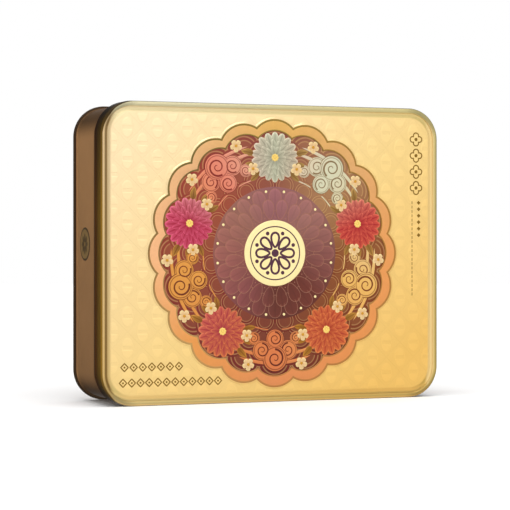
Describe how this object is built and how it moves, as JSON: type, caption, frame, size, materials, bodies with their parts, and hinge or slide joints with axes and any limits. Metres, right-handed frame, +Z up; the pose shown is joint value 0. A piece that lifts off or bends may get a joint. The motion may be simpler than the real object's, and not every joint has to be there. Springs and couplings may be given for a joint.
{
  "type": "closed mooncake gift tin",
  "caption": "Closed rectangular gift tin with rounded corners and a slip lid embossed with a scalloped round medallion, standing upright on its long side.",
  "frame": {"origin": "on the surface the tin stands on, under the middle of its outline and halfway through its depth", "axes": "+X along the long side the tin stands on, +Y from the lid's face to the back, +Z up"},
  "size_m": [0.24, 0.062, 0.196],
  "materials": {
    "gold_lacquer": "satin gold lacquer printed over tinplate",
    "brown_lacquer": "satin brown lacquer printed over tinplate"
  },
  "bodies": {
    "root": {"tin_lid": "gold_lacquer", "tin_base": "brown_lacquer"}
  },
  "joints": []
}
